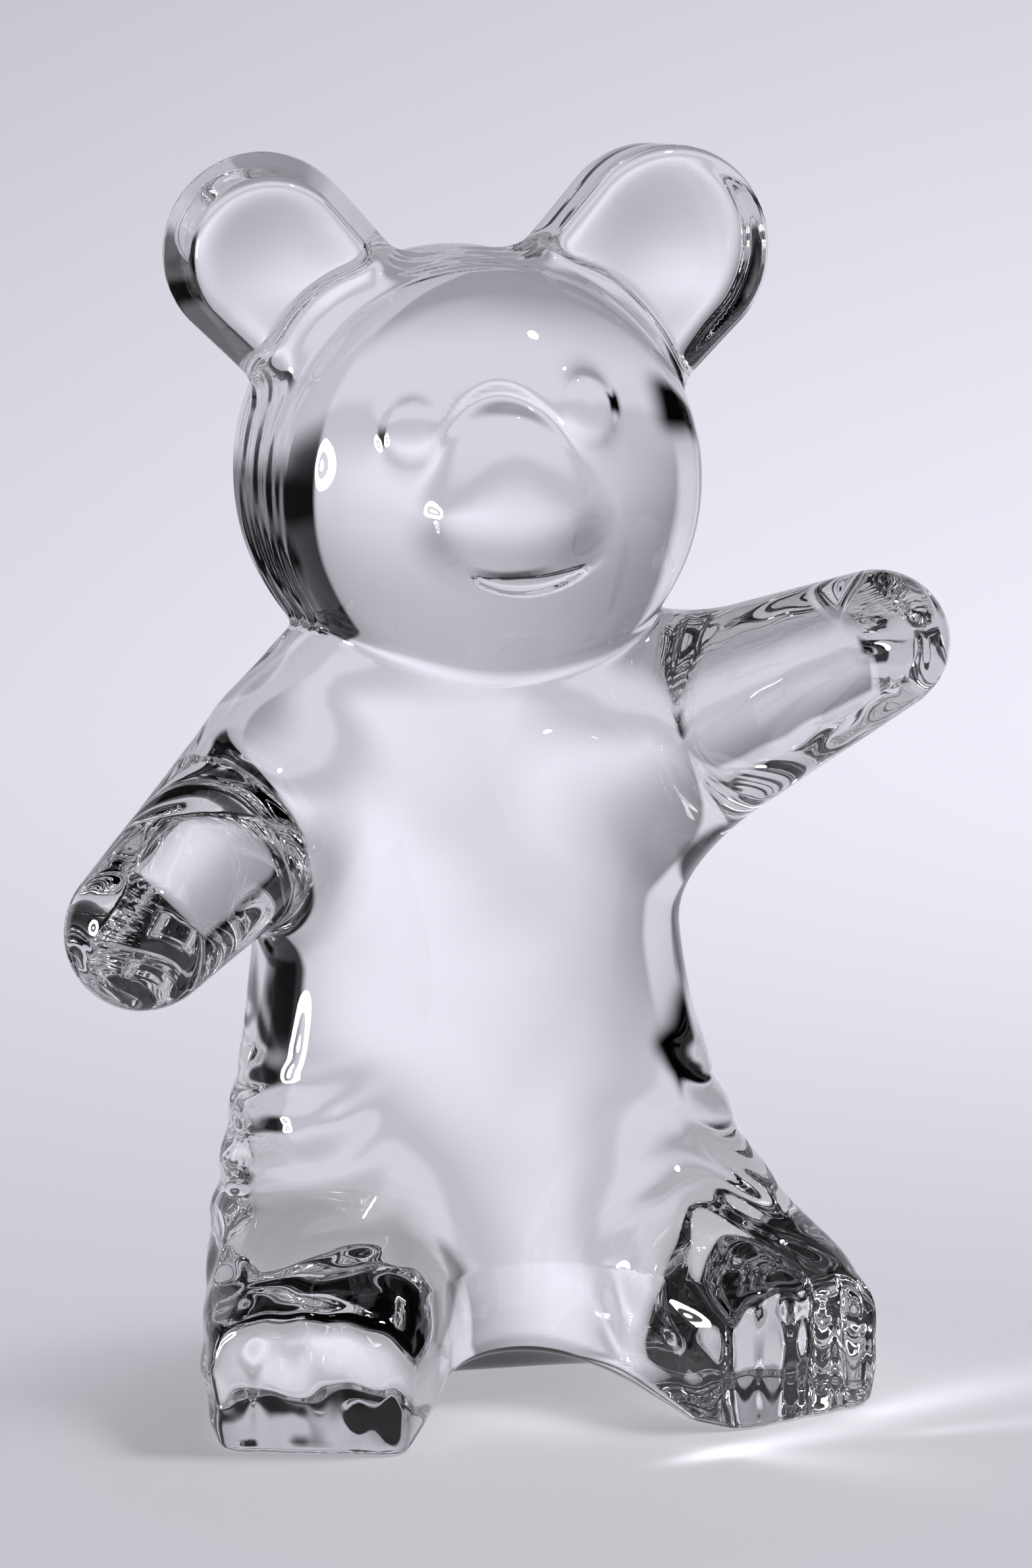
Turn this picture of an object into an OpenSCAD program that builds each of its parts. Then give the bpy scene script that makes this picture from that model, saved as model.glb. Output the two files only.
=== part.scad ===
// Seated bear figurine in solid clear crystal glass, one arm raised in a wave.
// Z is up, the bear faces -Y, and its flat underside is on Z = 0.
// The glass is drawn as the portions that it is worked from. Each is trimmed where it meets
// its neighbour, so the portions touch face to face with no glass counted twice.

/* [Head] */
// Height of the middle of the head
head_z = 91.4; // [90:0.2:94]
// Diameter of the head at its flat back
head_dia = 46.8; // [44:0.2:48]
// Distance from the middle of the head to the front of its dome
head_front = 20.5; // [18:0.5:22]
// Distance from the middle of the head to its flat back
head_back = 13; // [11:0.5:16]
// Radius of the domed face
dome_r = 25; // [24:0.5:28]

/* [Ears] */
// Distance between the centres of the ears
ear_span = 39.6; // [37:0.2:42]
// Height of the ear centres above the middle of the head
ear_rise = 22.5; // [21:0.1:24]
// Diameter of the ear
ear_dia = 20.6; // [18:0.2:22]
// Thickness of the ear
ear_t = 9.6; // [8:0.1:11]
// Lean of each ear away from upright, in degrees
ear_lean = 44; // [38:1:50]
// Radius of the hollow in the front of the ear
dish_r = 17; // [14:0.5:22]
// Depth of the hollow
dish_depth = 1.5; // [0.8:0.1:2]

/* [Face] */
// Diameter of each eye
eye_dia = 5.4; // [5:0.2:7]
// Height of the eye above the face
eye_rise = 0.7; // [0.4:0.1:1]
// How far the muzzle stands out from the head
muzzle_out = 3; // [2:0.1:4]
// Width of the muzzle
muzzle_w = 18.6; // [17:0.2:20]
// Width of the smile
smile_w = 11; // [9:0.2:12]
// Width of the smile's groove
smile_t = 2; // [1.6:0.1:2.4]

/* [Torso] */
// Width of the body
body_w = 43; // [40:0.5:46]
// Depth of the body, front to back
body_d = 35; // [32:0.5:38]
// Distance from the middle of the body to its flat back
back_flat = 13.6; // [12:0.2:15]
// Height of the arch under the front of the body
arch_h = 4.2; // [3:0.2:5]
// Width of the arch between the feet
arch_w = 30; // [26:1:32]

/* [Arms] */
// Reach of the raised paw's centre from the middle of the body
wave_reach = 36; // [34:0.2:38]
// Distance of the raised paw's centre in front of the middle of the body
wave_front = 21; // [18:0.5:23]
// Height of the raised paw's centre
wave_z = 76.2; // [74:0.2:79]
// Diameter of the raised paw
wave_paw = 14.4; // [13:0.2:16]
// Reach of the lowered paw's centre from the middle of the body
rest_reach = 38.2; // [36:0.2:40]
// Distance of the lowered paw's centre in front of the middle of the body
rest_front = 19; // [16:0.5:21]
// Height of the lowered paw's centre
rest_z = 50.2; // [48:0.2:53]
// Diameter of the lowered paw
rest_paw = 15.2; // [14:0.2:17]

/* [Legs] */
// Distance of the left sole's centre from the middle of the body
left_reach = 26.2; // [25:0.2:27]
// Distance of the right sole's centre from the middle of the body
right_reach = 24.2; // [23:0.2:26]
// Distance of the soles in front of the middle of the body
sole_front = 30.2; // [28:0.2:33]
// Turn-out of each foot, in degrees
toe_out = 20; // [14:1:26]
// Width across the sole
sole_w = 19.4; // [18:0.2:21]
// Height of the sole
sole_h = 13.2; // [11:0.2:15]

/* [Hidden] */

glass = [0.86, 0.87, 0.92, 0.55];
fine = 48;
coarse = 32;

head_x = 0.7;
head_draft = 0.05;
shoulder_r = 6;

ear_back = 3.1;
ear_root = 12;
ear_turn = 6;
ear_front_edge = 1.4;
ear_back_edge = 0.8;
left_ear_draft = -0.03;
right_ear_draft = 0.3;

muzzle_cheek_r = 5.6;
muzzle_bridge_r = 4;
muzzle_spot = [-1.9, -3];
muzzle_bridge_rise = 8.4;
left_eye_spot = [6.2, 8.4];
right_eye_spot = [-11.2, 6.4];
left_eye_stretch = 1.28;
smile_spot = [-0.2, -8.6];
smile_bend = 11;

body_back = 1;
body_top = 79;
body_top_r = 10;
body_foot_r = 2.5;
ground_off = 0.4;
back_foot = 4.8;
back_bend = 42;

wave_shoulder = [17.5, 3.5, 62.2];
wave_shoulder_r = 12.3;
rest_shoulder = [-18.4, 2, 61.2];
rest_shoulder_r = 10.2;

ankle = [0, 9, 8.4];
ankle_r = 10.4;
knee = [0, 18.5, 14.6];
knee_r = 12.4;
hip = [-1, 28, 23];
hip_r = 13;
toe_r = 3.4;
heel_r = 1.2;
sole_edge = 0.6;
floor_box = 130;

// Everything above the table.
module above_table() {
    translate([-floor_box / 2, -floor_box / 2, 0])
        cube(floor_box);
}

// Half of the head's section: radius across, distance forward of its middle upwards.
// A domed front, a rounded shoulder, a wall that widens a little backwards and a flat back.
module head_profile() {
    dome_y = head_front - dome_r;
    slope = sqrt(1 + head_draft * head_draft);
    // The shoulder's centre touches the wall's offset line and the dome's offset circle.
    reach = head_dia / 2 - head_draft * head_back - shoulder_r * slope;
    a = 1 + head_draft * head_draft;
    b = -2 * (dome_y + head_draft * reach);
    c = reach * reach + dome_y * dome_y - pow(dome_r - shoulder_r, 2);
    sy = (-b + sqrt(b * b - 4 * a * c)) / (2 * a);
    sx = reach - head_draft * sy;
    ty = dome_y + (sy - dome_y) * dome_r / (dome_r - shoulder_r);
    tx = sx * dome_r / (dome_r - shoulder_r);
    wx = sx + shoulder_r / slope;
    wy = sy + shoulder_r * head_draft / slope;
    polygon([[0, -head_back], [head_dia / 2, -head_back], [wx, wy], [tx, ty], [0, ty]]);
    translate([sx, sy])
        circle(shoulder_r, $fn = fine);
    intersection() {
        translate([0, dome_y])
            circle(dome_r, $fn = 2 * fine);
        translate([0, ty])
            square([tx, dome_r]);
    }
}

module head_mass() {
    translate([head_x, 0, head_z])
        rotate([90, 0, 0])
            rotate_extrude($fn = 2 * fine)
                head_profile();
}

// Half of the body's section: an upright column with round shoulders.
module body_profile() {
    half = body_w / 2;
    translate([0, body_foot_r])
        square([half, body_top - body_top_r - body_foot_r]);
    square([half - body_foot_r, body_top - body_top_r]);
    square([half - body_top_r, body_top]);
    translate([half - body_foot_r, body_foot_r])
        circle(body_foot_r, $fn = coarse);
    translate([half - body_top_r, body_top - body_top_r])
        circle(body_top_r, $fn = fine);
}

// The shallow arch that lifts the front edge of the body off the table between the feet.
module front_arch() {
    r = (pow(arch_w / 2, 2) + pow(arch_h, 2)) / (2 * arch_h);
    translate([0, -body_d / 2 + 3, arch_h])
        rotate([-20, 0, 0])
            translate([0, 0, -r])
                rotate([90, 0, 0])
                    cylinder(r = r, h = 2 * body_d, center = true, $fn = 2 * fine);
}

// Everything in front of the flat back, which slopes in below its bend towards the foot.
module before_back() {
    rotate([90, 0, 90])
        linear_extrude(height = floor_box, center = true)
            polygon([[-floor_box / 2, -1], [back_foot - 0.2, -1], [back_flat - 0.4, back_bend],
                     [back_flat, back_bend + 10], [back_flat, floor_box], [-floor_box / 2, floor_box]]);
}

module torso_mass() {
    intersection() {
        before_back();
        translate([0, body_back, -ground_off])
            scale([1, body_d / body_w, 1])
                rotate_extrude($fn = 2 * fine)
                    body_profile();
        above_table();
    }
}

// How far the dome stands in front of the head's middle at a place on the face.
function face_front(spot) =
    sqrt(dome_r * dome_r - spot[0] * spot[0] - spot[1] * spot[1]) - dome_r + head_front;

// Puts a feature on the face: X across it, -Y out of it, Z up it.
module on_face(spot) {
    translate([head_x + spot[0], -face_front(spot), head_z + spot[1]])
        children();
}

// The curved groove of the smile, a bent round bar that the head and muzzle are cut with.
module smile_groove() {
    spread = 2 * asin((smile_w - smile_t) / 2 / smile_bend);
    on_face(smile_spot)
        translate([0, 0, smile_bend - 0.8])
            rotate([90, 0, 0])
                rotate([0, 0, -90 - spread / 2])
                    rotate_extrude(angle = spread, $fn = fine)
                        translate([smile_bend, 0])
                            circle(d = smile_t, $fn = coarse);
}

// A shallow raised button for one eye.
module eye(spot, stretch) {
    on_face(spot)
        rotate([-asin(spot[1] / dome_r), 0, asin(spot[0] / dome_r)])
            scale([1, eye_rise / (eye_dia / 2), stretch])
                sphere(d = eye_dia, $fn = coarse);
}

module head() {
    color(glass)
        union() {
            difference() {
                union() {
                    head_mass();
                    eye(left_eye_spot, left_eye_stretch);
                }
                smile_groove();
            }
            eye(right_eye_spot, 1);
        }
}

module muzzle_mass() {
    out = head_front + muzzle_out - muzzle_cheek_r;
    cheek = muzzle_w / 2 - muzzle_cheek_r;
    translate([head_x + muzzle_spot[0], 0, head_z + muzzle_spot[1]])
        hull() {
            translate([0, -head_front + muzzle_bridge_r + 0.6, muzzle_bridge_rise])
                sphere(muzzle_bridge_r, $fn = coarse);
            for (edge = [-1, 1])
                translate([edge * cheek, -out, 1.8])
                    sphere(muzzle_cheek_r, $fn = coarse);
        }
}

module muzzle() {
    color(glass)
        difference() {
            muzzle_mass();
            head_mass();
            smile_groove();
        }
}

// A round plate in the XZ plane, smaller in front, with softened edges.
module ear_plate(dia, draft) {
    front = ear_t * draft;
    rotate([90, 0, 0])
        rotate_extrude($fn = fine)
            hull() {
                translate([0, -ear_t / 2])
                    square([1, ear_t]);
                translate([dia / 2 - ear_back_edge, -ear_t / 2 + ear_back_edge])
                    circle(ear_back_edge, $fn = coarse);
                translate([dia / 2 - front - ear_front_edge, ear_t / 2 - ear_front_edge])
                    circle(ear_front_edge, $fn = coarse);
            }
}

module ear(side, draft) {
    color(glass)
        difference() {
            translate([side * ear_span / 2, ear_back, head_z + ear_rise])
                rotate([0, side * ear_lean, side * ear_turn])
                    difference() {
                        hull() {
                            ear_plate(ear_dia, draft);
                            translate([0, 0, -ear_root])
                                ear_plate(ear_dia - 0.8, draft);
                        }
                        translate([0, -ear_t / 2 - dish_r + dish_depth, 0])
                            sphere(dish_r, $fn = fine);
                    }
            head_mass();
        }
}

module ear_left() {
    ear(1, left_ear_draft);
}

module ear_right() {
    ear(-1, right_ear_draft);
}

// An arm: a round taper from the shoulder forward to the paw.
module arm(shoulder, shoulder_ball, paw, paw_r) {
    color(glass)
        difference() {
            hull() {
                translate(shoulder)
                    sphere(shoulder_ball, $fn = coarse);
                translate(paw)
                    sphere(paw_r, $fn = coarse);
            }
            torso_mass();
        }
}

module arm_left() {
    arm(wave_shoulder, wave_shoulder_r, [wave_reach, -wave_front, wave_z], wave_paw / 2);
}

module arm_right() {
    arm(rest_shoulder, rest_shoulder_r, [-rest_reach, -rest_front, rest_z], rest_paw / 2);
}

// Places leg parts: local -Y points out of the sole, which is at local Y = 0.
module at_sole(reach) {
    translate([reach, -sole_front, 0])
        rotate([0, 0, toe_out])
            children();
}

// The round corners of the foot, just behind the flat sole.
module foot_corners() {
    for (edge = [-1, 1]) {
        translate([edge * (sole_w / 2 - toe_r + 0.4), sole_edge + toe_r / 2, sole_h - toe_r])
            sphere(toe_r, $fn = coarse);
        translate([edge * (sole_w / 2 - heel_r - 0.6), sole_edge + heel_r / 2, heel_r / 2])
            sphere(heel_r, $fn = coarse);
    }
}

module leg_mass(reach) {
    intersection() {
        at_sole(reach)
            hull() {
                translate(hip)
                    sphere(hip_r, $fn = coarse);
                translate(knee)
                    sphere(knee_r, $fn = coarse);
                translate(ankle)
                    sphere(ankle_r, $fn = coarse);
                foot_corners();
            }
        above_table();
        at_sole(reach)
            translate([-floor_box / 2, 0, -floor_box / 2])
                cube(floor_box);
    }
}

module leg_left() {
    color(glass)
        difference() {
            leg_mass(left_reach);
            torso_mass();
        }
}

module leg_right() {
    color(glass)
        difference() {
            mirror([1, 0, 0])
                leg_mass(right_reach);
            torso_mass();
        }
}

module torso() {
    color(glass)
        difference() {
            torso_mass();
            head_mass();
            front_arch();
        }
}

torso();
head();
muzzle();
ear_left();
ear_right();
arm_left();
arm_right();
leg_left();
leg_right();
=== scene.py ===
"""A seated, waving bear in solid clear crystal, on a pale studio floor.

The glass is modelled as one distance field: rounded masses that flow into each other with
small fillets, as hot-worked glass does. Its skin is meshed once, then shared out among
portions that stand for the CAD nodes. Where two portions meet there is no optical boundary,
so those inner faces carry a clear material and only the outer skin refracts.
"""

import math

import bpy
import numpy as np
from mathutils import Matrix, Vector


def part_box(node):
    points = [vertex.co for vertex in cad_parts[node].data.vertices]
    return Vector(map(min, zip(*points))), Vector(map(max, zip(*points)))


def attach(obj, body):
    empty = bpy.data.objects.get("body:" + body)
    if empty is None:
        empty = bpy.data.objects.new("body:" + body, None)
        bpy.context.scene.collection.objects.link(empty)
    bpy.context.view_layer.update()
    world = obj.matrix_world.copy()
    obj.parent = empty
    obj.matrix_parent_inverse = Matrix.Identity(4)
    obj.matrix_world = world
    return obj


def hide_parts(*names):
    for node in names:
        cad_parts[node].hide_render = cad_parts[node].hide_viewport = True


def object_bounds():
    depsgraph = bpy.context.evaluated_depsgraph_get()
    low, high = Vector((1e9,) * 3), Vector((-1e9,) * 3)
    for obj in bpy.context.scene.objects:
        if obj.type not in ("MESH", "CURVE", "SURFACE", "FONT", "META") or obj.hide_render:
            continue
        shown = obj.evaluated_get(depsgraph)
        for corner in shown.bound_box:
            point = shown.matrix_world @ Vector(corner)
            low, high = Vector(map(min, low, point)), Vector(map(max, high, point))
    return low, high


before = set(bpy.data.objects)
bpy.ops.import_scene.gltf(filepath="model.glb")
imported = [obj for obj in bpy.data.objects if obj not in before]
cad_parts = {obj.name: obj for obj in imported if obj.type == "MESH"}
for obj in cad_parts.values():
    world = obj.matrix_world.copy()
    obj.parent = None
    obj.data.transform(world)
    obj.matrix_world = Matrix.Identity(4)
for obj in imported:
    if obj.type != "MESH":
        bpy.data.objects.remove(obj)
frame_low, frame_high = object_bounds()

# ---------------------------------------------------------------- sizes taken from the frame
# The field is worked out in millimetres. MM is one of them in the frame's metres.
MM = 0.001
CELL = 0.5  # grid spacing of the mesh, in millimetres


def node_box(node):
    """Lowest and highest corner of a CAD node, in millimetres."""
    low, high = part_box(node)
    return np.array(low) / MM, np.array(high) / MM


torso_low, torso_high = node_box("torso")
BELLY_R = (torso_high - torso_low)[:2] / 2
BACK = 13.6  # from the middle of the body to its flat back
BACK_BEND = 42  # height of the bend, below which the back leans in
BACK_LEAN = 0.10  # half of the slope of the back below the bend
BACK_SOFT = 60  # roundness of the bend
NECK = 80  # height at which the column of the torso ends, inside the head

HEAD = np.array([0.7, 0.0, 91.4])  # the middle of the head
HEAD_R = 23.0
FACE_OUT = 20.5  # from the middle of the head to the front of its dome
DOME_R = 25.0
NAPE = 13.0  # from the middle of the head to its flat back
EYES = ((6.2, 8.4, 3.5), (-11.2, 6.4, 3.0))  # across and up on the face, and half height
EYE_WIDE = 2.7  # half width of an eye
EYE_PROUD = 1.0  # half depth of an eye
EYE_SUNK = 0.1

SNOUT_WIDE, SNOUT_NARROWING = 9.8, 0.42  # half width at the cheeks, and its loss upwards
SNOUT_ABOVE, SNOUT_BELOW = 10.6, 8.4  # half heights above and below its middle
SNOUT_BACK, SNOUT_DEPTH, SNOUT_SLOPE = 15, 8.1, 0.16
SMILE_WIDE, SMILE_DROP, SMILE_SAG, SMILE_THICK = 5.6, 8.3, 1.2, 0.9
DENT_WIDE, DENT_TALL, DENT_DEEP = 4.2, 1.0, 1.3

ear_low, ear_high = node_box("ear_left")
EAR_R = 10.3
EAR_T = 4.8  # half of its thickness
EAR_ROOT = 12.0  # how far it runs down into the head
EAR_ROOT_R = EAR_R - 0.4
EAR_LEAN = math.radians(44)
EAR_TURN = math.radians(6)
EAR_AT = np.array(
    [ear_high[0] - EAR_R, (ear_low + ear_high)[1] / 2 - 0.4, ear_high[2] - EAR_R - 0.2]
)
DISH_R = 17.0  # radius of the ball that hollows the ear's front
DISH_DEPTH = 1.5

WAVE_SHOULDER, WAVE_SHOULDER_R = (17.5, 3.2, 62.2), 12.1
WAVE_PAW, WAVE_PAW_R = np.array([36.0, -21.0, 76.2]), 7.2
REST_SHOULDER, REST_SHOULDER_R = (-18.4, 2, 61.2), 10.2
REST_PAW, REST_PAW_R = np.array([-38.2, -19.0, 50.2]), 7.6

TOE_OUT = math.radians(20)
SOLE_FRONT = -30.2
SOLE_HIGH = 13.2
SOLE_HALF = 8.7  # half width of a sole
LEG_BACK = 34  # from the sole to where the leg ends, inside the torso
LEG_SLOPE = 0.66  # how steeply the leg's top climbs behind the sole
THIGH = 3.2  # how much wider on each side the leg is behind its sole

ARCH_HIGH, ARCH_HALF = 4.2, 15  # the low arch in the underside, between the feet

# Widths of the fillets where the portions flow into their neighbours.
BODY_FILLETS = {"leg_left": 9, "leg_right": 9, "arm_left": 6, "arm_right": 6}
EAR_FILLET = 2.2
SNOUT_FILLET = 1.5
NECK_FILLET = 1.2


# ---------------------------------------------------------------- the field's building blocks
def smooth_min(a, b, k):
    """Union of two distances with a fillet of width k."""
    h = np.maximum(k - np.abs(a - b), 0) / k
    return np.minimum(a, b) - h * h * k * 0.25


def smooth_max(a, b, k):
    """Intersection of two distances with an edge rounded over width k."""
    return -smooth_min(-a, -b, k)


def taper(p, a, b, ra, rb):
    """A round bar from a to b whose radius goes from ra to rb."""
    a, b = np.asarray(a, np.float32), np.asarray(b, np.float32)
    axis = b - a
    length2 = float(axis @ axis)
    drop = ra - rb
    a2 = length2 - drop * drop
    q = p - a
    y = q @ axis
    z = y - length2
    x2 = np.sum((q * length2 - y[..., None] * axis) ** 2, axis=-1)
    y2, z2 = y * y * length2, z * z * length2
    k = math.copysign(drop * drop, drop) * x2
    side = (np.sqrt(x2 * a2 / length2) + y * drop) / length2 - ra
    near_b = np.sign(z) * a2 * z2 > k
    near_a = np.sign(y) * a2 * y2 < k
    side = np.where(near_a, np.sqrt(x2 + y2) / length2 - ra, side)
    return np.where(near_b, np.sqrt(x2 + z2) / length2 - rb, side)


def turn(p, centre, lean=0.0, spin=0.0):
    """p in the axes of a feature at centre, leant about Y and then spun about Z."""
    q = p - np.asarray(centre, np.float32)
    c, s = math.cos(spin), math.sin(spin)
    x, y = c * q[..., 0] + s * q[..., 1], -s * q[..., 0] + c * q[..., 1]
    c, s = math.cos(lean), math.sin(lean)
    return c * x - s * q[..., 2], y, s * x + c * q[..., 2]


def ease(t):
    """0 to 1 with level ends."""
    t = np.clip(t, 0, 1)
    return t * t * (3 - 2 * t)


def from_head(p):
    """Offsets of p from the middle of the head, along X, Y and Z."""
    return (p[..., i] - HEAD[i].astype(np.float32) for i in range(3))


# ---------------------------------------------------------------- the portions of the glass
# Each gives about the distance to its own skin in millimetres, negative inside. Where a shape
# is worked out as a ratio, the factor at its end turns it into millimetres.


def torso(p):
    """An upright column, round in front and flat behind, leaner towards its foot and neck."""
    x, y, z = p[..., 0], p[..., 1], p[..., 2]
    foot = ease((14 - z) / 30)
    wide = BELLY_R[0] - 0.2 - 3.2 * foot - 2.0 * ease((z - 60) / 20)
    deep = BELLY_R[1] - 0.2 - 1.8 * foot - 2.0 * ease((z - 36) / 40)
    hollow = BACK_BEND - z
    spine = BACK - BACK_LEAN * (hollow + np.sqrt(hollow * hollow + BACK_SOFT))
    square = np.where(y > 0, 4.0, 2 + 0.6 * ease((z - 44) / 20))
    deep = np.where(y > 0, spine, deep)
    column = ((np.abs(x) / wide) ** square + (np.abs(y) / deep) ** square) ** (1 / square)
    column = (column - 1) * 15.0
    return smooth_max(smooth_max(column, z - NECK, 10), -z, 4)


def on_face(across, up):
    """A point on the dome of the face, and the outward direction there."""
    back = DOME_R - FACE_OUT
    front = back - math.sqrt(DOME_R**2 - across**2 - up**2)
    place = np.array([across, front, up])
    out = place - (0, back, 0)
    return HEAD + place, out / np.linalg.norm(out)


def face_depth(x, z):
    """How far the dome of the face lies in front of the head's middle."""
    return np.sqrt(np.maximum(DOME_R**2 - x * x - z * z, 1.0)) - DOME_R + FACE_OUT


def head(p):
    """A drum on its side: domed in front, flat at the back, with raised eyes."""
    x, y, z = from_head(p)
    ring, angle = np.hypot(x, z), np.arctan2(x, z)
    dome = np.sqrt(ring * ring + (y - DOME_R + FACE_OUT) ** 2) - DOME_R
    # The wall is rippled: rings around it, and finer marks drawn slantwise across it.
    ripple = 0.13 * np.sin(1.25 * y + 0.10 * z + 0.8) + 0.05 * np.sin(2.9 * y - 0.22 * z + 0.1 * x)
    ripple = ripple * ease((11 - np.abs(y - 3)) / 5)
    pulled = np.sin(2.6 * y + 7.0 * angle + 1.3 * np.sin(3 * angle))
    ripple = ripple + (0.07 + 0.07 * ease((z - 6) / 8)) * pulled * ease((10 - np.abs(y - 2)) / 4)
    wall = ring - HEAD_R + 0.05 * (NAPE - y) + ripple
    drum = smooth_max(smooth_max(dome, wall, 2.6), y - NAPE, 1.6)
    for across, up, tall in EYES:
        centre, out = on_face(across, up)
        q = p - (centre - EYE_SUNK * out).astype(np.float32)
        depth = q @ out.astype(np.float32)
        beside = np.sqrt(np.maximum(np.sum(q * q, -1) - depth * depth - q[..., 2] ** 2, 0))
        oval = (beside / EYE_WIDE) ** 2 + (q[..., 2] / tall) ** 2
        button = (oval**1.2 + np.abs(depth / EYE_PROUD) ** 2.4) ** (1 / 2.4)
        drum = smooth_min(drum, (button - 1) * 0.95, 1.0)
    return drum


def muzzle(p):
    """The snout: a low mound, narrow at the bridge and wide at the cheeks."""
    x, y, z = from_head(p)
    x, z = x + 1.7, z - 1.0
    rise = z + 2.5
    swell = (rise + np.sqrt(rise * rise + 9)) / 2
    wide = SNOUT_WIDE - SNOUT_NARROWING * swell
    tall = np.where(z > -1.5, SNOUT_ABOVE, SNOUT_BELOW)
    ring = np.hypot(x / wide, (z + 1.5) / tall)
    depth = np.abs((y + SNOUT_BACK - SNOUT_SLOPE * swell) / SNOUT_DEPTH)
    size = (ring**2.6 + depth**2.6) ** (1 / 2.6)
    return (size - 1) * 6.5


def ear(p, side, draft):
    """A thick plate with a rounded rim, running into the head, dished in front.

    Its wall draws in towards the front by draft. Side is 1 for the left and -1 for the right.
    """
    x, y, z = turn(p, EAR_AT * (side, 1, 1), side * EAR_LEAN, side * EAR_TURN)
    b = (EAR_R - EAR_ROOT_R) / EAR_ROOT
    a = math.sqrt(1 - b * b)
    across, down = np.abs(x), -z
    k = -b * across + a * down
    top_arc = np.hypot(across, down) - EAR_R
    root_arc = np.hypot(across, down - EAR_ROOT) - EAR_ROOT_R
    edge = across * a + down * b - EAR_R
    outline = np.where(k < 0, top_arc, np.where(k > a * EAR_ROOT, root_arc, edge))
    wall = (outline + draft * (EAR_T - y)) * 0.98
    plate = smooth_max(wall, -y - EAR_T, 2.0)
    plate = smooth_max(plate, y - EAR_T, 1.4)
    dish = np.sqrt(x * x + (y + EAR_T + DISH_R - DISH_DEPTH) ** 2 + (z + 1.0) ** 2) - DISH_R
    return smooth_max(plate, -dish, 1.6)


def arm(p, shoulder, paw, shoulder_r, paw_r):
    """A round taper from shoulder to paw."""
    return taper(p, shoulder, paw, shoulder_r, paw_r) * 0.97


def leg(p, side, reach):
    """A leg swept back from its flat sole, squarish at the foot and round at the thigh.

    The middle of the sole lies to the side of the bear's middle by reach.
    """
    x, y, z = turn(p, (side * reach, SOLE_FRONT, 0), 0, side * TOE_OUT)
    x = x * side
    back = np.clip(y, 0, LEG_BACK)
    swell = 1 - np.exp(-back / 6.0)
    half = SOLE_HALF + 0.1 * np.clip(z, 0, 14) + THIGH * swell
    top = SOLE_HIGH + LEG_SLOPE * back
    base = -4.5 - 0.45 * back
    square = 2.0 + 1.4 * np.exp(-back / 7.0)
    middle, tall = (top + base) / 2, (top - base) / 2
    ring = (np.abs(x / half) ** square + np.abs((z - middle) / tall) ** square) ** (1 / square)
    sweep = (ring - 1) * np.minimum(half, tall) * 0.8
    sweep = smooth_max(sweep, y - LEG_BACK, 8)
    return smooth_max(sweep, 0.10 * np.sin(1.6 * x + 0.5) - y, 1.4)


PORTIONS = {
    "head": head,
    "torso": torso,
    "muzzle": muzzle,
    "ear_left": lambda p: ear(p, 1, -0.03),
    "ear_right": lambda p: ear(p, -1, 0.3),
    "arm_left": lambda p: arm(p, WAVE_SHOULDER, WAVE_PAW, WAVE_SHOULDER_R, WAVE_PAW_R),
    "arm_right": lambda p: arm(p, REST_SHOULDER, REST_PAW, REST_SHOULDER_R, REST_PAW_R),
    "leg_left": lambda p: leg(p, 1, 26.2),
    "leg_right": lambda p: leg(p, -1, 24.2),
}
NAMES = list(PORTIONS)


def smile(p):
    """The groove of the smile: a bent lens, thin at its corners."""
    x, y, z = from_head(p)
    x, z = x + 0.2, z - 0.9
    bent = z + SMILE_DROP + SMILE_SAG * np.maximum(1 - (x / SMILE_WIDE) ** 2, -1)
    deep = (y + face_depth(x, z)) / SMILE_THICK
    return np.sqrt((x / SMILE_WIDE) ** 2 + (bent / SMILE_THICK) ** 2 + deep**2) - 1


def bridge_dent(p):
    """The short arched dent where the snout meets the brow."""
    head_x, y, head_z = from_head(p)
    x, z = head_x + 2.6, head_z - 9.8
    bent = z + 0.10 * x * x
    deep = (y + face_depth(head_x, head_z) + 0.5) / DENT_DEEP
    size = np.sqrt((x / DENT_WIDE) ** 2 + (bent / DENT_TALL) ** 2 + deep**2)
    return (size - 1) * 0.8


def waviness(p):
    """The faint unevenness of fire-polished glass, in millimetres, stronger on the thighs."""
    x, y, z = p[..., 0], p[..., 1], p[..., 2]
    out, left = np.abs(x), np.sign(x)
    slow = np.sin(x * 0.31 + 1.3) * np.sin(y * 0.37 + z * 0.21 + 0.5) * np.sin(z * 0.29 + x * 0.17)
    quick = np.sin(x * 0.52 + z * 0.31 + 0.4) * np.sin(y * 0.6 - z * 0.47 + 2.1)
    low = ease((36 - z) / 10) * ease((out - 12) / 7) * 0.12
    drawn = np.sin(1.3 * z + 0.5 * out + 0.9 * np.sin(0.45 * x + 0.2 * y) + 1.2 * left)
    thigh = ease((36 - z) / 8) * ease((out - 14 - 3 * left) / 6) * ease((y + 27) / 5)
    return slow * 0.04 + quick * (0.006 + low) + drawn * 0.14 * thigh


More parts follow.
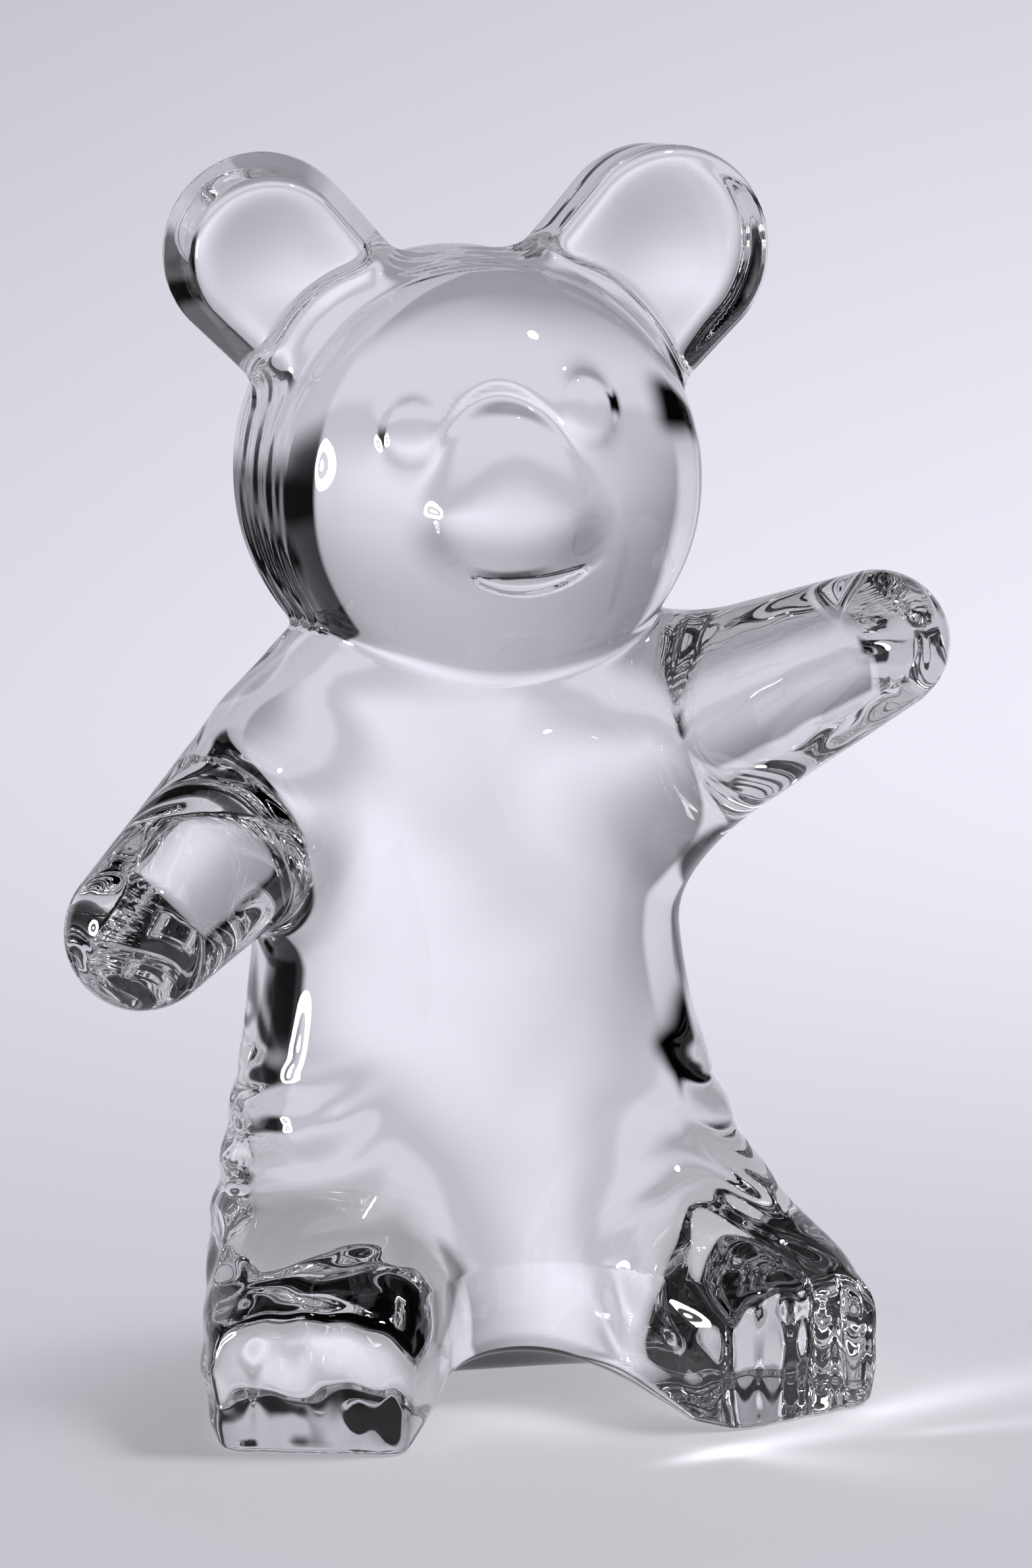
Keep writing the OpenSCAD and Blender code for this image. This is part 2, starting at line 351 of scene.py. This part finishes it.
def glass(p):
    """Signed distance to the skin of the whole figurine, and the distance to each portion."""
    d = {name: shape(p) for name, shape in PORTIONS.items()}
    body = d["torso"]
    for name, fillet in BODY_FILLETS.items():
        body = smooth_min(body, d[name], fillet)
    top = smooth_min(d["head"], d["muzzle"], SNOUT_FILLET)
    top = smooth_max(top, -smile(p), 0.7)
    top = smooth_max(top, -bridge_dent(p), 0.8)
    for name in ("ear_left", "ear_right"):
        top = smooth_min(top, d[name], EAR_FILLET)
    whole = smooth_min(body, top, NECK_FILLET) + waviness(p)
    # The underside is flat, but for a low arch between the feet.
    arch = ARCH_HIGH * np.clip(1 - (p[..., 0] / ARCH_HALF) ** 2, 0, 1)
    arch = arch * ease((-3 - p[..., 1]) / 9)
    return smooth_max(whole, arch - p[..., 2], 0.8 + 0.5 * arch), d


# ---------------------------------------------------------------- meshing
CORNERS = np.array([(i, j, k) for i in (0, 1) for j in (0, 1) for k in (0, 1)])
EDGES = [
    (a, b) for a in range(8) for b in range(a + 1, 8) if abs(CORNERS[a] - CORNERS[b]).sum() == 1
]
SLAB = 12  # layers of the grid worked out at a time, to save memory
SLOPE_STEP = 0.02  # half the distance over which the field's gradient is measured


def label_grid(low, high):
    """Field and portion number (0 is air) at every point of the grid."""
    counts = np.ceil((high - low) / CELL).astype(int) + 1
    axes = [low[i] + np.arange(counts[i]) * CELL for i in range(3)]
    field = np.empty(counts, np.float32)
    label = np.zeros(counts, np.int8)
    gx, gy = np.meshgrid(axes[0], axes[1], indexing="ij")
    for k in range(0, counts[2], SLAB):
        zs = axes[2][k : k + SLAB]
        p = np.empty((*gx.shape, len(zs), 3), np.float32)
        p[..., 0], p[..., 1], p[..., 2] = gx[..., None], gy[..., None], zs
        f, d = glass(p)
        field[..., k : k + SLAB] = f
        nearest = np.argmin(np.stack([d[n] for n in NAMES], 0), 0) + 1
        for name in ("torso", "head"):  # these two keep all the glass inside them
            nearest = np.where(d[name] < 0, NAMES.index(name) + 1, nearest)
        label[..., k : k + SLAB] = np.where(f < 0, nearest, 0)
    return field, label


def skin_points(cells, low, field, label):
    """One vertex for each grid cell that a surface passes through."""
    at = cells[:, None, :] + CORNERS[None]
    f = field[at[..., 0], at[..., 1], at[..., 2]].astype(float)
    names = label[at[..., 0], at[..., 1], at[..., 2]]
    outer = (names == 0).any(1)
    total = np.zeros((len(cells), 3))
    count = np.zeros(len(cells))
    for a, b in EDGES:
        outside = (names[:, a] == 0) != (names[:, b] == 0)
        cut = np.where(outer, outside, names[:, a] != names[:, b])
        gap = f[:, a] - f[:, b]
        share = np.where(outside, f[:, a] / np.where(np.abs(gap) < 1e-9, 1, gap), 0.5)
        place = CORNERS[a] + np.clip(share, 0, 1)[:, None] * (CORNERS[b] - CORNERS[a])
        total += place * cut[:, None]
        count += cut
    points = (cells + total / np.maximum(count, 1)[:, None]) * CELL + low
    return points, outer


def slope(p):
    """The field and its gradient at some points."""
    grad = np.empty_like(p)
    for i in range(3):
        step = np.zeros(3)
        step[i] = SLOPE_STEP
        grad[:, i] = (glass(p + step)[0] - glass(p - step)[0]) / (2 * SLOPE_STEP)
    return glass(p)[0], grad


def settle(points, outer):
    """Moves the outer vertices on to the true skin and returns the skin's normals there."""
    p = points[outer].copy()
    for _ in range(3):
        f, grad = slope(p)
        size = np.maximum(np.sum(grad * grad, -1), 0.05)
        move = -(f / size)[:, None] * grad
        reach = np.linalg.norm(move, axis=1, keepdims=True)
        p += move * np.minimum(1, 0.5 * CELL / np.maximum(reach, 1e-9))
    _, grad = slope(p)
    points[outer] = p
    normals = np.zeros_like(points)
    normals[outer] = grad / np.linalg.norm(grad, axis=1, keepdims=True)
    return normals


def walls(label, index):
    """The quads between unlike neighbours: corner vertices, and the portion on each side."""
    quads, back, front = [], [], []
    spans = {
        0: [(0, -1, -1), (0, 0, -1), (0, 0, 0), (0, -1, 0)],
        1: [(-1, 0, -1), (-1, 0, 0), (0, 0, 0), (0, 0, -1)],
        2: [(-1, -1, 0), (0, -1, 0), (0, 0, 0), (-1, 0, 0)],
    }
    for axis, cells in spans.items():
        a = label[tuple(slice(0, -1) if i == axis else slice(1, -1) for i in range(3))]
        b = label[tuple(slice(1, None) if i == axis else slice(1, -1) for i in range(3))]
        spot = np.argwhere(a != b)
        grid = spot + [0 if i == axis else 1 for i in range(3)]
        corner = np.stack([index[tuple((grid + offset).T)] for offset in cells], 1)
        quads.append(corner)
        back.append(a[tuple(spot.T)])
        front.append(b[tuple(spot.T)])
    return np.concatenate(quads), np.concatenate(back), np.concatenate(front)


def mesh_piece(name, points, normals, quads, inner, materials):
    """A closed mesh in metres. Inner quads take the second of the materials."""
    used, corner = np.unique(quads, return_inverse=True)
    corner = corner.reshape(-1, 4)
    mesh = bpy.data.meshes.new(name)
    mesh.vertices.add(len(used))
    mesh.vertices.foreach_set("co", (points[used] * MM).astype(np.float32).ravel())
    mesh.loops.add(corner.size)
    mesh.loops.foreach_set("vertex_index", corner.astype(np.int32).ravel())
    mesh.polygons.add(len(corner))
    mesh.polygons.foreach_set("loop_start", np.arange(0, corner.size, 4, dtype=np.int32))
    mesh.polygons.foreach_set("material_index", inner.astype(np.int32))
    for material in materials:
        mesh.materials.append(material)
    mesh.update(calc_edges=True)
    mesh.validate()
    mesh.polygons.foreach_set("use_smooth", np.ones(len(mesh.polygons), bool))
    mesh.normals_split_custom_set(normals[quads].reshape(-1, 3).tolist())
    piece = bpy.data.objects.new(name, mesh)
    bpy.context.scene.collection.objects.link(piece)
    return piece


# ---------------------------------------------------------------- materials
CRYSTAL_IOR = 1.545
CRYSTAL_TINT = (0.995, 0.997, 1.0, 1)


def node_material(name):
    """An empty material and its node tree."""
    material = bpy.data.materials.new(name)
    material.use_nodes = True
    material.node_tree.nodes.clear()
    return material, material.node_tree


def crystal():
    """Clear lead crystal, for the outer skin."""
    material, tree = node_material("lead_crystal")
    shader = tree.nodes.new("ShaderNodeBsdfPrincipled")
    shader.inputs["Base Color"].default_value = CRYSTAL_TINT
    shader.inputs["Roughness"].default_value = 0.0
    shader.inputs["IOR"].default_value = CRYSTAL_IOR
    shader.inputs["Transmission Weight"].default_value = 1.0
    out = tree.nodes.new("ShaderNodeOutputMaterial")
    tree.links.new(shader.outputs["BSDF"], out.inputs["Surface"])
    return material


def fused():
    """No boundary at all, for the inner faces where two pieces are the same glass."""
    material, tree = node_material("fused_joint")
    shader = tree.nodes.new("ShaderNodeBsdfTransparent")
    out = tree.nodes.new("ShaderNodeOutputMaterial")
    tree.links.new(shader.outputs["BSDF"], out.inputs["Surface"])
    return material


# ---------------------------------------------------------------- the figurine
def build_figurine():
    """Meshes the skin once and shares it out, one piece for each node of the CAD model."""
    margin = 3 * CELL
    low = np.array(frame_low) / MM - margin - (2, 2, 0)
    high = np.array(frame_high) / MM + margin + (3, 3, 1)
    field, label = label_grid(low, high)
    size = np.array(label.shape) - 1
    lowest = label[:-1, :-1, :-1].copy()
    highest = lowest.copy()
    for corner in CORNERS:
        part = label[tuple(slice(start, start + count) for start, count in zip(corner, size))]
        np.minimum(lowest, part, out=lowest)
        np.maximum(highest, part, out=highest)
    cells = np.argwhere(lowest != highest)
    index = np.full(lowest.shape, -1, np.int32)
    index[tuple(cells.T)] = np.arange(len(cells))
    points, outer = skin_points(cells, low, field, label)
    normals = settle(points, outer)
    quads, back, front = walls(label, index)
    materials = [crystal(), fused()]
    for number, name in enumerate(NAMES, start=1):
        ours, theirs = back == number, front == number
        faces = np.concatenate([quads[ours], quads[theirs][:, ::-1]])
        inner = np.concatenate([front[ours], back[theirs]]) != 0
        piece = mesh_piece("glass_" + name, points, normals, faces, inner, materials)
        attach(piece, "root")
        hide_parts(name)


build_figurine()

# ---------------------------------------------------------------- stage
VIEW_TURN = math.radians(-15)  # the camera stands this far round from the bear's front
VIEW_RISE = math.radians(9)
VIEW_FAR = 0.6
VIEW_PIVOT = Vector((0, 0, 0.062))  # the camera stands at VIEW_FAR from here
AIM = Vector((0.0043, -0.0012, 0.0602))  # and looks at this point
UP = Vector((0, 0, 1))
toward = Vector((math.sin(VIEW_TURN), -math.cos(VIEW_TURN), 0))
rightward = Vector((math.cos(VIEW_TURN), math.sin(VIEW_TURN), 0))

FLOOR_R = 1.2
FLOOR_DROP = 0.00006  # keeps the floor clear of the underside
FLOOR_FADE = (0.03, 0.078)  # the floor thins out between these distances from its middle
PAPER = (0.80, 0.785, 0.84, 1)
# Tint of the painted caustic light on the floor.
PAINTED_BEAM_TINT = (0.97, 0.95, 1.03, 1)
BACKDROP_TINT = (0.96, 0.94, 1.05, 1)

# Painted streaks of light on the floor, standing in for the caustics the glass casts there: start
# in mm, bearing in degrees, half width in mm, spread, reach in mm, strength.
PAINTED_BEAMS = (
    ((14, -40), 20, 1.6, 0.12, 16, 0.55),
    ((35, -29), 24, 2.4, 0.14, 50, 0.28),
    ((38, -38), 6, 1.6, 0.10, 40, 0.16),
    ((17, -41), -35, 2.2, 0.30, 9, 0.30),
    ((2, -24), 0, 7.0, 0.0, 22, 0.10),
)


def calculator(tree):
    """A function that adds a maths node to the tree and gives its output."""

    def calc(kind, a, b=None):
        node = tree.nodes.new("ShaderNodeMath")
        node.operation = kind
        for slot, value in zip(node.inputs, (a, b)):
            if isinstance(value, (int, float)):
                slot.default_value = value
            elif value is not None:
                tree.links.new(value, slot)
        return node.outputs[0]

    return calc


def add_floor():
    """A pale disc with painted caustic light near the bear, thinning out so the backdrop's light
    takes over.
    """
    bpy.ops.mesh.primitive_circle_add(
        vertices=128, radius=FLOOR_R, fill_type="NGON", location=(0, 0, -FLOOR_DROP)
    )
    floor = bpy.context.object
    floor.name = "floor"
    material, tree = node_material("pale_paper")
    nodes, links = tree.nodes, tree.links
    calc = calculator(tree)
    paper = nodes.new("ShaderNodeBsdfDiffuse")
    paper.inputs["Color"].default_value = PAPER
    clear = nodes.new("ShaderNodeBsdfTransparent")
    where = nodes.new("ShaderNodeTexCoord")
    far = nodes.new("ShaderNodeVectorMath")
    far.operation = "DISTANCE"
    far.inputs[1].default_value = (0, -0.03, 0)
    fade = nodes.new("ShaderNodeMapRange")
    fade.interpolation_type = "SMOOTHSTEP"
    fade.inputs["From Min"].default_value, fade.inputs["From Max"].default_value = FLOOR_FADE
    mix = nodes.new("ShaderNodeMixShader")
    out = nodes.new("ShaderNodeOutputMaterial")

    def painted_beam(start, bearing, width, spread, reach, strength):
        """A painted streak of light on the floor that widens and fades away from its start."""
        turned = nodes.new("ShaderNodeMapping")
        turned.vector_type = "TEXTURE"
        turned.inputs["Location"].default_value = (start[0] * MM, start[1] * MM, 0)
        turned.inputs["Rotation"].default_value = (0, 0, math.radians(bearing))
        turned.inputs["Scale"].default_value = (MM, MM, MM)
        links.new(where.outputs["Object"], turned.inputs["Vector"])
        parts = nodes.new("ShaderNodeSeparateXYZ")
        links.new(turned.outputs["Vector"], parts.inputs["Vector"])
        along = parts.outputs["X"]
        ahead = calc("MAXIMUM", along, 0.0)
        wide = calc("ADD", calc("MULTIPLY", ahead, spread), width)
        off = calc("DIVIDE", parts.outputs["Y"], wide)
        bell = calc("EXPONENT", calc("MULTIPLY", calc("MULTIPLY", off, off), -1.0))
        fall = calc("EXPONENT", calc("DIVIDE", ahead, -reach))
        back = calc("DIVIDE", calc("MINIMUM", along, 0.0), 5.0)
        start_fall = calc("EXPONENT", calc("MULTIPLY", calc("MULTIPLY", back, back), -1.0))
        body = calc("MULTIPLY", bell, fall)
        return calc("MULTIPLY", body, calc("MULTIPLY", start_fall, strength))

    # Painted caustic light: the streaks glow as emission added to the paper, not light sent by the
    # glass.
    painted_caustics = painted_beam(*PAINTED_BEAMS[0])
    for values in PAINTED_BEAMS[1:]:
        painted_caustics = calc("ADD", painted_caustics, painted_beam(*values))
    shine = nodes.new("ShaderNodeEmission")
    shine.inputs["Color"].default_value = PAINTED_BEAM_TINT
    links.new(painted_caustics, shine.inputs["Strength"])
    lit = nodes.new("ShaderNodeAddShader")
    links.new(where.outputs["Object"], far.inputs[0])
    links.new(far.outputs["Value"], fade.inputs["Value"])
    links.new(fade.outputs["Result"], mix.inputs["Fac"])
    links.new(paper.outputs["BSDF"], lit.inputs[0])
    links.new(shine.outputs["Emission"], lit.inputs[1])
    links.new(lit.outputs["Shader"], mix.inputs[1])
    links.new(clear.outputs["BSDF"], mix.inputs[2])
    links.new(mix.outputs["Shader"], out.inputs["Surface"])
    floor.data.materials.append(material)


def add_world():
    """The studio, as a pattern of directions: a bright backdrop behind the bear, over a table.

    The angles are degrees seen from the bear: side is to the right of straight behind it,
    and rise is above the level.
    """
    world = bpy.data.worlds.new("studio")
    bpy.context.scene.world = world
    world.use_nodes = True
    tree = world.node_tree
    tree.nodes.clear()
    nodes, links = tree.nodes, tree.links
    calc = calculator(tree)

    def ramp(value, start, end, low=0.0, high=1.0):
        node = nodes.new("ShaderNodeMapRange")
        node.interpolation_type = "SMOOTHSTEP"
        links.new(value, node.inputs["Value"])
        node.inputs["From Min"].default_value = start
        node.inputs["From Max"].default_value = end
        node.inputs["To Min"].default_value = low
        node.inputs["To Max"].default_value = high
        return node.outputs["Result"]

    def blend(share, one, other):
        """One where the share is 1, the other where it is 0."""
        rest = calc("SUBTRACT", 1.0, share)
        return calc("ADD", calc("MULTIPLY", one, share), calc("MULTIPLY", other, rest))

    def along(vector, direction):
        node = nodes.new("ShaderNodeVectorMath")
        node.operation = "DOT_PRODUCT"
        links.new(vector, node.inputs[0])
        node.inputs[1].default_value = direction
        return node.outputs["Value"]

    sight = nodes.new("ShaderNodeTexCoord").outputs["Generated"]
    away = along(sight, -toward)
    right = along(sight, rightward)
    up = along(sight, UP)
    side = calc("MULTIPLY", calc("ARCTAN2", right, away), 180 / math.pi)
    rise = calc("MULTIPLY", calc("ARCSINE", up), 180 / math.pi)
    # A soft pool of light on the backdrop, a little to the right and low.
    pool_x = calc("DIVIDE", calc("SUBTRACT", side, 12.0), 35.0)
    pool_y = calc("DIVIDE", calc("ADD", rise, 10.0), 10.0)
    across = calc("DIVIDE", 0.88, calc("ADD", calc("MULTIPLY", pool_x, pool_x), 1.0))
    steep = calc("EXPONENT", calc("MULTIPLY", calc("MULTIPLY", pool_y, pool_y), -1.0))
    glow = calc("MULTIPLY", across, calc("ADD", calc("MULTIPLY", steep, 0.48), 0.60))
    # Black flags stand to the right, far to the left and overhead. On the left, a card shows
    # between the backdrop and the flag.
    right_flag = ramp(side, 33, 37, 1, 0)
    left_flag = ramp(side, -60, -50, 0, 1)
    ceiling = ramp(rise, 20, 27, 1, 0)
    left_card = calc("MULTIPLY", ramp(side, -52, -46), ramp(side, -30, -23, 0.76, 0))
    glow = calc("MULTIPLY", calc("MAXIMUM", glow, left_card), ceiling)
    # The table is darker towards the bear. To the left a band of it is black.
    near = ramp(rise, -40, -24, 0.36, 0.74)
    table = blend(ramp(rise, -20, -17), 0.60, near)
    beside = ramp(side, -27, -19, 1, 0)
    band = calc("MULTIPLY", ramp(rise, -28, -23), ramp(rise, -18, -13, 1, 0))
    unlit = calc("MULTIPLY", beside, band)
    table = calc("MULTIPLY", calc("SUBTRACT", 1.0, unlit), table)
    open_side = blend(ramp(rise, -16.5, -8), glow, table)
    # Elsewhere it is nearly black above the table, whose edge is higher in front on the right.
    flag_foot = ramp(rise, -20, -12, 0.60, 0)
    dark_foot = ramp(rise, -8, -1, 0.60, 0)
    far_side = blend(ramp(side, 100, 106, 1, 0), flag_foot, dark_foot)
    far_side = calc("ADD", far_side, 0.006)
    amount = blend(calc("MULTIPLY", right_flag, left_flag), open_side, far_side)
    # A pale card stands beyond the left flag.
    card = ramp(calc("ABSOLUTE", calc("ADD", side, 105.0)), 7, 11, 0.55, 0)
    amount = calc("MAXIMUM", amount, calc("MULTIPLY", card, ramp(rise, 8, 11, 1, 0)))
    light = nodes.new("ShaderNodeBackground")
    light.inputs["Color"].default_value = BACKDROP_TINT
    links.new(amount, light.inputs["Strength"])
    out = nodes.new("ShaderNodeOutputWorld")
    links.new(light.outputs["Background"], out.inputs["Surface"])


LAMP_AIM = Vector((0, 0, 0.08))


def add_lamp(name, turn_deg, rise_deg, distance, size, power, for_floor=False):
    """A round lamp aimed at the head, placed by its bearing from the bear's front.

    A lamp for the floor isn't seen in the glass, and the others shine only on the glass.
    """
    t, r = math.radians(turn_deg), math.radians(rise_deg)
    way = Vector((math.sin(t) * math.cos(r), -math.cos(t) * math.cos(r), math.sin(r)))
    data = bpy.data.lights.new(name, "AREA")
    data.shape = "DISK"
    data.size = size
    data.energy = power
    lamp = bpy.data.objects.new(name, data)
    lamp.location = LAMP_AIM + way * distance
    lamp.rotation_euler = way.to_track_quat("Z", "Y").to_euler()
    lamp.visible_diffuse = for_floor
    lamp.visible_glossy = lamp.visible_transmission = not for_floor
    bpy.context.scene.collection.objects.link(lamp)
    return lamp


# Brightness of the dish at shares of its radius.
DISH_LEVELS = ((0.16, 1.3), (0.22, 0.04), (0.48, 0.04), (0.56, 1.3))


def dish_light(lamp, radius):
    """Dims a lamp between its bright rim and its bulb, as in a beauty dish."""
    lamp.data.use_nodes = True
    tree = lamp.data.node_tree
    nodes, links = tree.nodes, tree.links
    nodes.clear()
    spot = nodes.new("ShaderNodeTexCoord")
    flat = nodes.new("ShaderNodeVectorMath")
    flat.operation = "MULTIPLY"
    flat.inputs[1].default_value = (1, 1, 0)
    out_from = nodes.new("ShaderNodeVectorMath")
    out_from.operation = "LENGTH"
    levels = nodes.new("ShaderNodeValToRGB")
    stops = levels.color_ramp.elements
    (first, first_level), *between, (last, last_level) = DISH_LEVELS
    stops[0].position, stops[0].color = first, (first_level,) * 3 + (1,)
    stops[1].position, stops[1].color = last, (last_level,) * 3 + (1,)
    for position, level in between:
        stops.new(position).color = (level,) * 3 + (1,)
    scale = nodes.new("ShaderNodeMath")
    scale.operation = "DIVIDE"
    scale.inputs[1].default_value = radius
    glow = nodes.new("ShaderNodeEmission")
    out = nodes.new("ShaderNodeOutputLight")
    links.new(spot.outputs["Object"], flat.inputs[0])
    links.new(flat.outputs["Vector"], out_from.inputs[0])
    links.new(out_from.outputs["Value"], scale.inputs[0])
    links.new(scale.outputs["Value"], levels.inputs["Fac"])
    links.new(levels.outputs["Color"], glow.inputs["Color"])
    links.new(glow.outputs["Emission"], out.inputs["Surface"])


add_floor()
add_world()
SOFTBOX_SIZE = 0.22
softbox = add_lamp("softbox", -87, 6, 0.7, SOFTBOX_SIZE, 3.0)
dish_light(softbox, SOFTBOX_SIZE / 2)
add_lamp("overhead", 50, 63, 0.9, 0.065, 2.4)
add_lamp("fill", 0, 75, 1.2, 0.8, 7.4, for_floor=True).data.use_shadow = False
add_lamp("key", 80, 48, 0.9, 0.30, 3.2, for_floor=True)

scene = bpy.context.scene
camera = bpy.data.objects.new("camera", bpy.data.cameras.new("camera"))
camera.data.sensor_width = 36
camera.data.lens = 136
outward = toward * math.cos(VIEW_RISE) + UP * math.sin(VIEW_RISE)
camera.location = VIEW_PIVOT + VIEW_FAR * outward
camera.rotation_euler = (camera.location - AIM).to_track_quat("Z", "Y").to_euler()
camera.data.clip_start, camera.data.clip_end = 0.01, 20
scene.collection.objects.link(camera)
scene.camera = camera
scene.view_settings.view_transform = "Standard"
scene.cycles.max_bounces = 32
scene.cycles.transmission_bounces = 32
scene.cycles.glossy_bounces = 12
scene.cycles.transparent_max_bounces = 64
